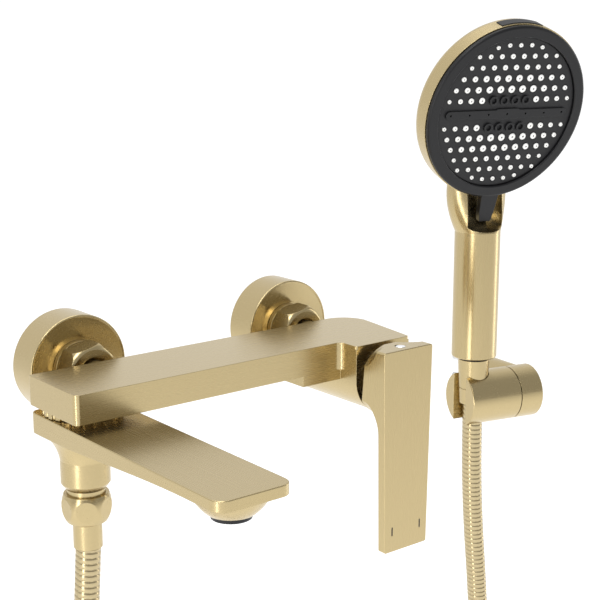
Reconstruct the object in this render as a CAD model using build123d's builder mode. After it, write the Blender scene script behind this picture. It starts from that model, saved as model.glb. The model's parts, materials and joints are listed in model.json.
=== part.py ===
from build123d import *
from math import cos, pi, radians, sin, tan
import os

# Wall mounted bath faucet with a hand shower, its hose and its wall holder.
# Frame: origin on the wall plane midway between the two inlets, +X to the right along the
# wall, -Y out of the wall, +Z up. Millimetres.

os.makedirs("parts", exist_ok=True)

# ---------------------------------------------------------------- driving dimensions
INLET_X = 75.0  # half of the 150 mm between the inlets
TAIL_DROP = 5.0  # the wall tails sit this far below the inlet axes
TAIL_R = 10.3
TAIL_LENGTH = 16.0
ESCUTCHEON_R = 30.0
ESCUTCHEON_DEPTH = 21.5
NUT_FLATS = 29.0
NUT_BACK = 23.0
NUT_FRONT = 38.0
NUT_CHAMFER = 1.3  # length of the bevel at the nut's back
NUT_DOME = 33.0  # where the nut's rounded shoulder starts
NUT_FACE_R = 13.4
NUT_BORE_R = 9.2
CONNECTOR_STEP = 3.0  # the tail ends and the offset thread starts here
CONNECTOR_END = 29.0
CONNECTOR_R = 13.2
CONNECTOR_BORE_R = 7.2
THREAD_PLAY = 0.05
COLLAR_START = 19.4
COLLAR_LENGTH = 3.2
COLLAR_R = 15.2
TAIL_BORE_R = 7.0
BORES_MEET = 12.0  # the tail's bore ends here, inside the connector's own
CONNECTOR_BORE_START = 9.0
WASHER_FRONT = 30.8
FLANGE_FRONT = 32.6  # front of the inlet tail's flange, inside the nut
FLANGE_R = 12.6
INLET_BORE_R = 6.6

BAR_LEFT = -118.0
BAR_BACK = 44.0  # distances out of the wall are positive here and negative in Y
BAR_FRONT = 94.0
BAR_HALF = 8.0  # half of the bar's height
BLOCK_LEFT = 28.4
BLOCK_BOTTOM = -14.2
BODY_RIGHT = 104.3
NOSE_FRONT = 108.0
CART_X = 76.7  # cartridge axis
CART_Z = -13.0
HOUSING_R = 20.5
CHAMBER_R = 17.6
CHAMBER_BACK = 72.0
BODY_CORNER = 17.0  # radius of the body's right rear corner
BLOCK_INSET = 0.8  # the block's end stands this far inside the bar's
WAY_R = 4.2  # hot and cold waterways
WAY_START = 6.0  # the waterways start this far inside the body's back
COLD_DROP = -2.0  # height of the two chamber inlets
HOT_X = 67.0
COLD_X = 79.0
MIXED_R = 4.3
MIXED_Y = -80.0
MIXED_Z = -1.0
SEAL_THICK = 2.0
PORT_R = 3.4
CARTRIDGE_R = 17.4
CARTRIDGE_FRONT = 97.5
DISC_CHAMBER_R = 14.2
DISC_BACK = 78.0
DISC_R = 14.0
DISC_THICK = 4.0
SHOULDER_BACK = 94.0  # back of the cartridge's front shoulder
NECK_HOLE_R = 9.2

LEVER_FACE = 130.0
LEVER_PLATE = 5.4
LEVER_TOP_HALF = 18.8
LEVER_FOOT_HALF = 16.6
LEVER_FOOT_Z = -113.0
LEVER_BASE_R = 21.3
LEVER_BASE_START = 109.0
LEVER_BACK_LEAN = 5.0  # how far the base's back leans out at its top, room for the lift
LEVER_PIVOT = 106.0
PIVOT_R = 1.5
PIVOT_PLAY = 0.05
LEVER_FLARE = 112.0  # where the base starts to flare
STEM_SIDE = 8.0
MARK_X = 10.9
MARK_Z = -100.3
MARK_W = 1.0
MARK_H = 5.2
MARK_DEPTH = 0.4
CAP_Y = -123.0
CAP_R = 3.0
CAP_DEPTH = 2.0
SCREW_Y = -121.5

SPOUT_X = -96.0  # swivel axis
SPOUT_Y = -62.0
SPOUT_TOP = -11.7
SPOUT_BACK_HALF = 22.3
SPOUT_TIP_HALF = 21.3
SPOUT_TIP = 216.0
SPOUT_TIP_THICK = 5.6
AERATOR_Y = -196.0
OUTLET_R = 13.4
OUTLET_BOTTOM = -54.0
POST_R = 9.0
POST_BOTTOM = -43.0
POST_SPIGOT_R = 7.0
POST_BORE_R = 5.0
PORT_Z = -18.6  # the post's port and the arm's
SPOUT_PORT_R = 3.0
O_RING_HEIGHTS = (-14.2, -24.0, -34.0)
SPOUT_BLOCK = 12.0  # height of the arm before its underside is cut
AERATOR_BOSS = 26.5  # bottom of the boss, below the bar's mid height
AERATOR_R = 9.7

HOSE_R = 7.0
HOSE_START_Z = -88.4
HOSE_ROUTE = [
    (SPOUT_X, SPOUT_Y, HOSE_START_Z),
    (-99.3, -62.0, -140.0),
    (-107.5, -61.0, -225.0),
    (-113.0, -59.0, -310.0),
    (-112.0, -57.0, -395.0),
    (-92.0, -55.0, -470.0),
    (-48.0, -53.0, -532.0),
    (22.0, -51.0, -566.0),
    (100.0, -49.5, -566.0),
    (170.0, -48.0, -532.0),
    (215.0, -47.0, -470.0),
    (236.0, -46.0, -395.0),
    (238.0, -45.5, -310.0),
    (232.0, -45.0, -225.0),
    (222.5, -45.0, -148.0),
    (220.0, -45.0, -90.0),
    (220.0, -45.0, -34.0),
]

HAND_X = 220.0  # axis of the hand shower in its holder
HAND_Y = -45.0
GROUP_TURN = -13.5  # the holder's barrel and the hand shower are turned about the vertical
BARREL_Z = -67.8
BARREL_R = 18.4
BARREL_LEFT = -10.6
BARREL_RIGHT = 28.9
HOLDER_END = 46.4
HOLDER_GAP = 0.4
SPIGOT_R = 9.0
SPIGOT_LENGTH = 9.0
SPIGOT_PLAY = 0.06
SEAT_PLAY = 0.35
WALL_DISC_R = 13.0
WALL_DISC_THICK = 8.8
WALL_SCREW_REACH = 7.0
GRUB_Y = -4.5
NECK_R = 14.5
SLOT_W = 15.4
HANDLE_R = 15.5
HANDLE_BOTTOM = -37.5
CONE_TOP_R = 10.9
CONE_FOOT_R = 9.4
CONE_TOP_Z = -39.5
CONE_FOOT_Z = -71.0
HEAD_REACH = 31.4  # face centre ahead of the handle's axis
HEAD_Z = 130.5
HEAD_TILT = 17.5
HEAD_R = 59.2
FACE_R = 58.5
RING_INNER_R = 51.0
PLATE_BACK = 2.0  # the face plate is set back from the ring's front
NOZZLE_PITCH = 8.3
NOZZLE_ROW = 7.3
NOZZLE_FIRST_ROW = 9.2

# ---------------------------------------------------------------- shared frames
turn = radians(GROUP_TURN)
tilt = radians(HEAD_TILT)
ALONG = Vector(cos(turn), sin(turn), 0)  # along the barrel, to its right end
AHEAD = Vector(sin(turn), -cos(turn), 0)  # out of the wall, turned with the hand shower
UP = Vector(0, 0, 1)
HAND_AXIS = Vector(HAND_X, HAND_Y, 0)
BARREL_CENTRE = Vector(HAND_X, HAND_Y, BARREL_Z)
FACE_CENTRE = HAND_AXIS + AHEAD * HEAD_REACH + UP * HEAD_Z
FACE_OUT = AHEAD * cos(tilt) - UP * sin(tilt)
FACE_PLANE = Plane(origin=FACE_CENTRE, x_dir=ALONG, z_dir=FACE_OUT)


def write(builder, name):
    """Labels a finished piece and writes its STEP file."""
    builder.part.label = name
    export_step(builder.part, f"parts/{name}.step")


def profile_plane(origin, along):
    """A plane through an axis: its x runs along the axis and its y is the radius."""
    side = Vector(0, 0, 1) if abs(along.Z) < abs(along.X) + abs(along.Y) else Vector(1, 0, 0)
    return Plane(origin=origin, x_dir=along, z_dir=along.cross(side))


def turned(origin, along, outline):
    """A turned piece: a closed outline of (distance along the axis, radius) points."""
    plane = profile_plane(origin, along)
    with BuildPart() as piece:
        with BuildSketch(plane):
            with BuildLine():
                Polyline(*outline, close=True)
            make_face()
        revolve(axis=Axis(origin, along))
    return piece


def ring(start, end, inner, outer):
    """The outline of a plain ring."""
    return [(start, inner), (end, inner), (end, outer), (start, outer)]


OUT = Vector(0, -1, 0)
DOWN = Vector(0, 0, -1)


# ---------------------------------------------------------------- inlets
def eccentric_connector(x):
    """The S-shaped union: wall tail, offset step, collar and the thread for the union nut."""
    with BuildPart() as piece:
        with BuildSketch(Plane.XZ.offset(-TAIL_LENGTH)):
            with Locations((x, -TAIL_DROP)):
                Circle(TAIL_R)
        extrude(amount=TAIL_LENGTH + CONNECTOR_STEP)
        with BuildSketch(Plane.XZ.offset(CONNECTOR_STEP)):
            with Locations((x, 0)):
                Circle(CONNECTOR_R)
        extrude(amount=CONNECTOR_END - CONNECTOR_STEP)
        with BuildSketch(Plane.XZ.offset(COLLAR_START)):
            with Locations((x, 0)):
                Circle(COLLAR_R)
        extrude(amount=COLLAR_LENGTH)
        with BuildSketch(Plane.XZ.offset(CONNECTOR_BORE_START)):
            with Locations((x, 0)):
                Circle(CONNECTOR_BORE_R)
        extrude(amount=CONNECTOR_END - CONNECTOR_BORE_START, mode=Mode.SUBTRACT)
        with BuildSketch(Plane.XZ.offset(-TAIL_LENGTH)):
            with Locations((x, -TAIL_DROP)):
                Circle(TAIL_BORE_R)
        extrude(amount=TAIL_LENGTH + BORES_MEET, mode=Mode.SUBTRACT)
    return piece


def escutcheon(x):
    """A deep spun drum with a dished front and a thin rounded rim."""
    wall = 1.2
    depth = ESCUTCHEON_DEPTH
    rim = depth - 0.9
    lip = depth - 0.3
    lip_r = ESCUTCHEON_R - 1.4
    dish = depth - 2.4
    flat_r = 16.0
    hole_r = 13.6
    plane = profile_plane(Vector(x, 0, 0), OUT)
    with BuildPart() as piece:
        with BuildSketch(plane):
            with BuildLine():
                Polyline((0, ESCUTCHEON_R - wall), (0, ESCUTCHEON_R), (rim, ESCUTCHEON_R))
                ThreePointArc((rim, ESCUTCHEON_R), (depth - 0.1, ESCUTCHEON_R - 0.5), (lip, lip_r))
                Polyline(
                    (lip, lip_r),
                    (dish, flat_r),
                    (dish, hole_r),
                    (dish - wall, hole_r),
                    (dish - wall, flat_r),
                    (depth - 0.4 - wall, ESCUTCHEON_R - wall),
                    (0, ESCUTCHEON_R - wall),
                )
            make_face()
        revolve(axis=Axis((x, 0, 0), OUT))
    return piece


def union_nut(x):
    """Hexagon with a chamfered back, a domed shoulder and its thread bore."""
    corner = NUT_FLATS / 2 / cos(radians(30))
    plane = profile_plane(Vector(x, 0, 0), OUT)
    with BuildPart() as piece:
        with BuildSketch(Plane.XZ.offset(NUT_BACK)):
            with Locations((x, 0)):
                RegularPolygon(corner, 6, rotation=12)
        extrude(amount=NUT_FRONT - NUT_BACK)
        with BuildSketch(plane):
            with BuildLine():
                Line((NUT_BACK, NUT_BORE_R), (NUT_BACK, 15.0))
                Polyline((NUT_BACK, 15.0), (NUT_BACK + NUT_CHAMFER, corner), (NUT_DOME, corner))
                ThreePointArc((NUT_DOME, corner), (36.6, 15.6), (NUT_FRONT, NUT_FACE_R))
                Polyline((NUT_FRONT, NUT_FACE_R), (NUT_FRONT, NUT_BORE_R), (NUT_BACK, NUT_BORE_R))
            make_face()
        revolve(axis=Axis((x, 0, 0), OUT), mode=Mode.INTERSECT)
        with BuildSketch(Plane.XZ.offset(NUT_BACK)):
            with Locations((x, 0)):
                Circle(CONNECTOR_R + THREAD_PLAY)
        extrude(amount=FLANGE_FRONT - NUT_BACK, mode=Mode.SUBTRACT)
    return piece


for side, x in (("left", -INLET_X), ("right", INLET_X)):
    inlet = Vector(x, 0, 0)
    write(eccentric_connector(x), f"eccentric_connector_{side}")
    write(escutcheon(x), f"escutcheon_{side}")
    write(union_nut(x), f"union_nut_{side}")
    washer_outline = ring(CONNECTOR_END, WASHER_FRONT, CONNECTOR_BORE_R, FLANGE_R)
    write(turned(inlet, OUT, washer_outline), f"union_washer_{side}")
    tail_outline = [(WASHER_FRONT, 5.0), (52.0, 5.0), (52.0, INLET_BORE_R), (BAR_BACK, INLET_BORE_R)]
    tail_outline += [(BAR_BACK, 7.8), (FLANGE_FRONT, 7.8), (FLANGE_FRONT, FLANGE_R), (WASHER_FRONT, FLANGE_R)]
    write(turned(inlet, OUT, tail_outline), f"inlet_tail_{side}")
    valve_outline = [(14.0, 0), (14.0, 7.1), (28.0, 7.1), (28.0, 5.2), (18.0, 5.2)]
    valve_outline += [(18.0, 4.0), (24.0, 2.5), (24.0, 0)]
    write(turned(inlet, OUT, valve_outline), f"check_valve_{side}")

# ---------------------------------------------------------------- mixer body
corner_rise = BODY_CORNER * (1 - cos(radians(45)))  # from the sharp corner's sides to the arc's middle
with BuildPart() as mixer_body:
    with BuildSketch(Plane.XY.offset(-BAR_HALF)):
        with BuildLine():
            Polyline((BODY_RIGHT - BODY_CORNER, -BAR_BACK), (BAR_LEFT, -BAR_BACK), (BAR_LEFT, -BAR_FRONT))
            Line((BAR_LEFT, -BAR_FRONT), (CART_X - HOUSING_R, -BAR_FRONT))
            Line((CART_X - HOUSING_R, -BAR_FRONT), (CART_X - HOUSING_R, -NOSE_FRONT))
            Line((CART_X - HOUSING_R, -NOSE_FRONT), (CART_X + HOUSING_R, -NOSE_FRONT))
            Line((CART_X + HOUSING_R, -NOSE_FRONT), (BODY_RIGHT, -BAR_BACK - BODY_CORNER))
            ThreePointArc(
                (BODY_RIGHT, -BAR_BACK - BODY_CORNER),
                (BODY_RIGHT - corner_rise, -BAR_BACK - corner_rise),
                (BODY_RIGHT - BODY_CORNER, -BAR_BACK),
            )
        make_face()
    extrude(amount=2 * BAR_HALF)
    upright = mixer_body.edges().filter_by(Axis.Z)
    fillet(upright.filter_by_position(Axis.X, BAR_LEFT - 1, BAR_LEFT + 1).sort_by(Axis.Y)[:1], 3.2)
    upright = mixer_body.edges().filter_by(Axis.Z)
    fillet(upright.filter_by_position(Axis.X, BAR_LEFT - 1, BAR_LEFT + 1).sort_by(Axis.Y)[-1:], 1.6)
    upright = mixer_body.edges().filter_by(Axis.Z)
    fillet(upright.filter_by_position(Axis.Y, -BAR_FRONT - 1, -BAR_FRONT + 1).sort_by(Axis.X)[-1:], 4.0)
    upright = mixer_body.edges().filter_by(Axis.Z)
    fillet(upright.filter_by_position(Axis.Y, -NOSE_FRONT - 1, -NOSE_FRONT + 1), 1.8)
    with BuildSketch(Plane.XY.offset(BLOCK_BOTTOM)):  # the deeper block around the right inlet
        with BuildLine():
            Polyline(
                (BODY_RIGHT - BODY_CORNER, -BAR_BACK),
                (BLOCK_LEFT, -BAR_BACK),
                (BLOCK_LEFT, -BAR_FRONT),
                (CART_X + HOUSING_R, -BAR_FRONT),
                (BODY_RIGHT - BLOCK_INSET, -BAR_BACK - BODY_CORNER),
            )
            ThreePointArc(
                (BODY_RIGHT - BLOCK_INSET, -BAR_BACK - BODY_CORNER),
                (BODY_RIGHT - 5.6, -BAR_BACK - 5.6),
                (BODY_RIGHT - BODY_CORNER, -BAR_BACK),
            )
        make_face()
    extrude(amount=BAR_HALF)
    with BuildSketch(Plane.XZ.offset(BAR_BACK + 4)):  # the round-bottomed cartridge housing
        with Locations((CART_X, (CART_Z + BAR_HALF - 2) / 2)):
            Rectangle(2 * HOUSING_R, BAR_HALF - 2 - CART_Z)
        with Locations((CART_X, CART_Z)):
            Circle(HOUSING_R)
    extrude(amount=NOSE_FRONT - BAR_BACK - 4)
    with BuildSketch(Plane.XZ.offset(CHAMBER_BACK)):
        with Locations((CART_X, CART_Z)):
            Circle(CHAMBER_R)
    extrude(amount=NOSE_FRONT - CHAMBER_BACK, mode=Mode.SUBTRACT)
    with BuildSketch(Plane.XZ.offset(BAR_BACK)):  # bores for the inlet tails
        with Locations((-INLET_X, 0), (INLET_X, 0)):
            Circle(INLET_BORE_R)
    extrude(amount=8, mode=Mode.SUBTRACT)
    with BuildSketch(Plane.XZ.offset(BAR_BACK + WAY_START)):  # hot and cold ways to the chamber's back
        with Locations((-INLET_X, 0)):
            Circle(WAY_R)
    extrude(amount=10, mode=Mode.SUBTRACT)
    with BuildSketch(Plane.XZ.offset(BAR_BACK + WAY_START)):
        with Locations((COLD_X, COLD_DROP)):
            Circle(WAY_R)
    extrude(amount=CHAMBER_BACK - BAR_BACK, mode=Mode.SUBTRACT)
    with BuildSketch(Plane.YZ.offset(-INLET_X)):
        with Locations((-57, 0)):
            Circle(WAY_R)
    extrude(amount=INLET_X + HOT_X, mode=Mode.SUBTRACT)
    with BuildSketch(Plane.XZ.offset(57)):
        with Locations((HOT_X, COLD_DROP)):
            Circle(4.0)
    extrude(amount=CHAMBER_BACK - 56, mode=Mode.SUBTRACT)
    with BuildSketch(Plane.YZ.offset(SPOUT_X)):  # mixed water back to the spout's post
        with Locations((MIXED_Y, MIXED_Z)):
            Circle(MIXED_R)
    extrude(amount=CART_X - 12 - SPOUT_X, mode=Mode.SUBTRACT)
    with BuildSketch(Plane.XZ.offset(-SPOUT_Y)):
        with Locations((SPOUT_X, MIXED_Z)):
            Circle(MIXED_R)
    extrude(amount=SPOUT_Y - MIXED_Y, mode=Mode.SUBTRACT)
    with BuildSketch(Plane.XY.offset(-BAR_HALF)):
        with Locations((SPOUT_X, SPOUT_Y)):
            Circle(POST_SPIGOT_R)
    extrude(amount=9, mode=Mode.SUBTRACT)
write(mixer_body, "mixer_body")

# ---------------------------------------------------------------- cartridge
CART_AXIS = Vector(CART_X, 0, CART_Z)

with BuildPart() as cartridge_seal:
    with BuildSketch(Plane.XZ.offset(CHAMBER_BACK)):
        with Locations((CART_X, CART_Z)):
            Circle(17.2)
        with Locations((HOT_X, COLD_DROP), (COLD_X, COLD_DROP), (CART_X, CART_Z - 10)):
            Circle(3.6, mode=Mode.SUBTRACT)
    extrude(amount=SEAL_THICK)
write(cartridge_seal, "cartridge_seal")

with BuildPart() as cartridge_body:
    with BuildSketch(Plane.XZ.offset(CHAMBER_BACK + SEAL_THICK)):
        with Locations((CART_X, CART_Z)):
            Circle(CARTRIDGE_R)
    extrude(amount=CARTRIDGE_FRONT - CHAMBER_BACK - SEAL_THICK)
    with BuildSketch(Plane.XZ.offset(DISC_BACK)):
        with Locations((CART_X, CART_Z)):
            Circle(DISC_CHAMBER_R)
    extrude(amount=SHOULDER_BACK - DISC_BACK, mode=Mode.SUBTRACT)
    with BuildSketch(Plane.XZ.offset(SHOULDER_BACK)):
        with Locations((CART_X, CART_Z)):
            Circle(NECK_HOLE_R)
    extrude(amount=CARTRIDGE_FRONT - SHOULDER_BACK, mode=Mode.SUBTRACT)
    with BuildSketch(Plane.XZ.offset(CHAMBER_BACK + SEAL_THICK)):
        with Locations((HOT_X, COLD_DROP), (COLD_X, COLD_DROP), (CART_X, CART_Z - 10)):
            Circle(PORT_R)
    extrude(amount=DISC_BACK - CHAMBER_BACK - SEAL_THICK, mode=Mode.SUBTRACT)
    with BuildSketch(Plane.YZ.offset(CART_X - 20)):  # side port for the mixed water
        with Locations((MIXED_Y, -3)):
            Circle(PORT_R)
    extrude(amount=12, mode=Mode.SUBTRACT)
write(cartridge_body, "cartridge_body")

with BuildPart() as fixed_disc:
    with BuildSketch(Plane.XZ.offset(DISC_BACK)):
        with Locations((CART_X, CART_Z)):
            Circle(DISC_R)
        with Locations((CART_X - 5.5, CART_Z + 5.5), (CART_X + 5.5, CART_Z + 5.5), (CART_X, CART_Z - 7)):
            Circle(2.8, mode=Mode.SUBTRACT)
    extrude(amount=DISC_THICK)
write(fixed_disc, "fixed_disc")

with BuildPart() as moving_disc:
    with BuildSketch(Plane.XZ.offset(DISC_BACK + DISC_THICK + 0.05)):
        with Locations((CART_X, CART_Z)):
            Circle(11.0)
        with Locations((CART_X, CART_Z)):
            SlotOverall(12, 6, rotation=90, mode=Mode.SUBTRACT)
    extrude(amount=3.4)
write(moving_disc, "moving_disc")

with BuildPart() as cartridge_carrier:  # turns with the lever and holds its pivot pin
    with BuildSketch(Plane.XZ.offset(85.6)):
        with Locations((CART_X, CART_Z)):
            Circle(12.5)
    extrude(amount=8)
    with BuildSketch(Plane.XZ.offset(93.6)):
        with Locations((CART_X, CART_Z)):
            Circle(9.0)
    extrude(amount=15)
    with BuildSketch(Plane.XZ.offset(90)):
        with Locations((CART_X, CART_Z)):
            Rectangle(8.6, 20)
    extrude(amount=20, mode=Mode.SUBTRACT)
    with BuildSketch(Plane.YZ.offset(CART_X - 10)):
        with Locations((-LEVER_PIVOT, CART_Z)):
            Circle(PIVOT_R + PIVOT_PLAY)
    extrude(amount=20, mode=Mode.SUBTRACT)
write(cartridge_carrier, "cartridge_carrier")

pin_start = Vector(CART_X - 8.2, -LEVER_PIVOT, CART_Z)
write(turned(pin_start, Vector(1, 0, 0), [(0, 0), (16.4, 0), (16.4, PIVOT_R), (0, PIVOT_R)]), "lever_pivot_pin")

nut_outline = [(98.0, 10.5), (102.5, 10.5), (102.5, 17.5), (98.0, 17.5)]
write(turned(CART_AXIS, OUT, nut_outline), "cartridge_nut")
cover_outline = [(103.2, 10.2), (105.4, 10.2), (107.4, 12.0), (107.4, 17.4), (103.2, 17.4)]
write(turned(CART_AXIS, OUT, cover_outline), "cartridge_cover_ring")

# ---------------------------------------------------------------- lever
with BuildPart() as lever_stem:
    with BuildSketch(Plane.XZ.offset(93)):
        with Locations((CART_X, CART_Z)):
            Rectangle(STEM_SIDE, STEM_SIDE)
    extrude(amount=32)
    with BuildSketch(Plane.YZ.offset(CART_X - 10)):
        with Locations((-LEVER_PIVOT, CART_Z)):
            Circle(PIVOT_R + PIVOT_PLAY)
    extrude(amount=20, mode=Mode.SUBTRACT)
write(lever_stem, "lever_stem")

with BuildPart() as lever_handle:
    with BuildSketch(Plane.XZ.offset(LEVER_BASE_START)):
        with BuildLine():
            Polyline(
                (CART_X - LEVER_TOP_HALF, BAR_HALF),
                (CART_X + LEVER_TOP_HALF, BAR_HALF),
                (CART_X + LEVER_FOOT_HALF, LEVER_FOOT_Z),
                (CART_X - LEVER_FOOT_HALF, LEVER_FOOT_Z),
                close=True,
            )
        make_face()
    extrude(amount=LEVER_FACE - LEVER_BASE_START)
    fillet(lever_handle.edges().filter_by(Axis.Y), 1.4)
    flare = LEVER_FACE - LEVER_PLATE - LEVER_FLARE
    with BuildSketch(profile_plane(CART_AXIS, OUT)):  # the base flares in a hollow curve to the plate
        with BuildLine():
            Polyline((LEVER_BASE_START, 0), (LEVER_BASE_START, LEVER_BASE_R), (LEVER_FLARE, LEVER_BASE_R))
            ThreePointArc(
                (LEVER_FLARE, LEVER_BASE_R),
                (LEVER_FLARE + flare * sin(radians(45)), LEVER_BASE_R + flare * (1 - cos(radians(45)))),
                (LEVER_FLARE + flare, LEVER_BASE_R + flare),
            )
            Polyline(
                (LEVER_FLARE + flare, LEVER_BASE_R + flare),
                (LEVER_FLARE + flare, 150.0),
                (LEVER_FACE, 150.0),
                (LEVER_FACE, 0),
                (LEVER_BASE_START, 0),
            )
        make_face()
    revolve(axis=Axis(CART_AXIS, OUT), mode=Mode.INTERSECT)
    with BuildSketch(Plane.YZ.offset(CART_X - 30)):  # the back leans out upwards
        with BuildLine():
            Polyline(
                (-LEVER_BASE_START + 5, CART_Z - 25),
                (-LEVER_BASE_START, CART_Z - 25),
                (-LEVER_BASE_START - LEVER_BACK_LEAN, BAR_HALF + 1),
                (-LEVER_BASE_START + 5, BAR_HALF + 1),
                close=True,
            )
        make_face()
    extrude(amount=60, mode=Mode.SUBTRACT)
    with BuildSketch(Plane.XZ.offset(LEVER_BASE_START - 1)):
        with Locations((CART_X, CART_Z)):
            Rectangle(STEM_SIDE + 0.1, STEM_SIDE + 0.1)
    extrude(amount=125.2 - LEVER_BASE_START + 1, mode=Mode.SUBTRACT)
    with BuildSketch(Plane.XZ.offset(LEVER_BASE_START - 1)):  # room for the carrier's fork
        with Locations((CART_X, CART_Z)):
            Circle(10.5)
    extrude(amount=7, mode=Mode.SUBTRACT)
    with BuildSketch(Plane.XY.offset(BAR_HALF + 1)):  # set screw hole from the top
        with Locations((CART_X, SCREW_Y)):
            Circle(2.5)
    extrude(amount=-20, mode=Mode.SUBTRACT)
    with BuildSketch(Plane.XY.offset(BAR_HALF - CAP_DEPTH)):
        with Locations((CART_X, CAP_Y)):
            Circle(CAP_R)
    extrude(amount=4, mode=Mode.SUBTRACT)
    with BuildSketch(Plane.XZ.offset(LEVER_FACE - MARK_DEPTH)):
        with Locations((CART_X - MARK_X, MARK_Z), (CART_X + MARK_X, MARK_Z)):
            Rectangle(MARK_W, MARK_H)
    extrude(amount=1, mode=Mode.SUBTRACT)
    chamfer(lever_handle.faces().filter_by(Axis.Y).sort_by(Axis.Y)[0].outer_wire().edges(), 0.3)
write(lever_handle, "lever_handle")

with BuildPart() as lever_marks:
    with BuildSketch(Plane.XZ.offset(LEVER_FACE - MARK_DEPTH)):
        with Locations((CART_X - MARK_X, MARK_Z), (CART_X + MARK_X, MARK_Z)):
            Rectangle(MARK_W, MARK_H)
    extrude(amount=MARK_DEPTH - 0.05)
write(lever_marks, "lever_marks")

screw_top = Vector(CART_X, SCREW_Y, 0)
screw_outline = [(0.5, 1.2), (3.0, 1.2), (3.0, 0), (8.9, 0), (8.9, 2.45), (0.5, 2.45)]
write(turned(screw_top, DOWN, screw_outline), "lever_set_screw")
with BuildPart() as indicator_cap:
    with BuildSketch(Plane.XY.offset(BAR_HALF - CAP_DEPTH + 0.1)):
        with Locations((CART_X, CAP_Y)):
            Circle(CAP_R - 0.05)
    extrude(amount=CAP_DEPTH)
    chamfer(indicator_cap.faces().sort_by(Axis.Z)[-1].edges(), 0.3)
write(indicator_cap, "indicator_cap")

# ---------------------------------------------------------------- spout and its post
SPOUT_AXIS = Vector(SPOUT_X, SPOUT_Y, 0)

with BuildPart() as spout_post:  # screwed into the body; its front port is the diverter
    with BuildSketch(Plane.XY.offset(POST_BOTTOM)):
        with Locations((SPOUT_X, SPOUT_Y)):
            Circle(POST_R)
    extrude(amount=-BAR_HALF - POST_BOTTOM)
    with BuildSketch(Plane.XY.offset(-BAR_HALF)):
        with Locations((SPOUT_X, SPOUT_Y)):
            Circle(POST_SPIGOT_R - 0.05)
    extrude(amount=7)
    with BuildSketch(Plane.XY.offset(POST_BOTTOM)):
        with Locations((SPOUT_X, SPOUT_Y)):
            Circle(POST_BORE_R)
    extrude(amount=50, mode=Mode.SUBTRACT)
    with BuildSketch(Plane.XZ.offset(-SPOUT_Y)):
        with Locations((SPOUT_X, PORT_Z)):
            Circle(SPOUT_PORT_R)
    extrude(amount=12, mode=Mode.SUBTRACT)
    for height in O_RING_HEIGHTS:
        with BuildSketch(profile_plane(SPOUT_AXIS, DOWN)):
            with Locations((-height, POST_R + 0.3)):
                Rectangle(2.0, 2.4)
        revolve(axis=Axis(SPOUT_AXIS, DOWN), mode=Mode.SUBTRACT)
    with BuildSketch(profile_plane(SPOUT_AXIS, DOWN)):
        with Locations((41.0, POST_R)):
            Rectangle(1.2, 2.0)
    revolve(axis=Axis(SPOUT_AXIS, DOWN), mode=Mode.SUBTRACT)
write(spout_post, "spout_post")

with BuildPart() as post_o_rings:
    for height in O_RING_HEIGHTS:
        with BuildSketch(profile_plane(SPOUT_AXIS, DOWN)):
            with Locations((-height, POST_R - 0.15)):
                Circle(0.72)
        revolve(axis=Axis(SPOUT_AXIS, DOWN))
write(post_o_rings, "post_o_rings")

with BuildPart() as swivel_ring:  # scalloped friction ring between the body and the spout
    with BuildSketch(Plane.XY.offset(SPOUT_TOP + 0.3)):
        with Locations((SPOUT_X, SPOUT_Y)):
            Circle(21.3)
            Circle(POST_R + 0.1, mode=Mode.SUBTRACT)
            with PolarLocations(21.6, 24):
                Circle(1.4, mode=Mode.SUBTRACT)
    extrude(amount=-BAR_HALF - SPOUT_TOP - 0.3)
write(swivel_ring, "swivel_ring")

clip_outline = ring(40.5, 41.5, 8.1, 10.4)
write(turned(SPOUT_AXIS, DOWN, clip_outline), "spout_circlip")

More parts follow.
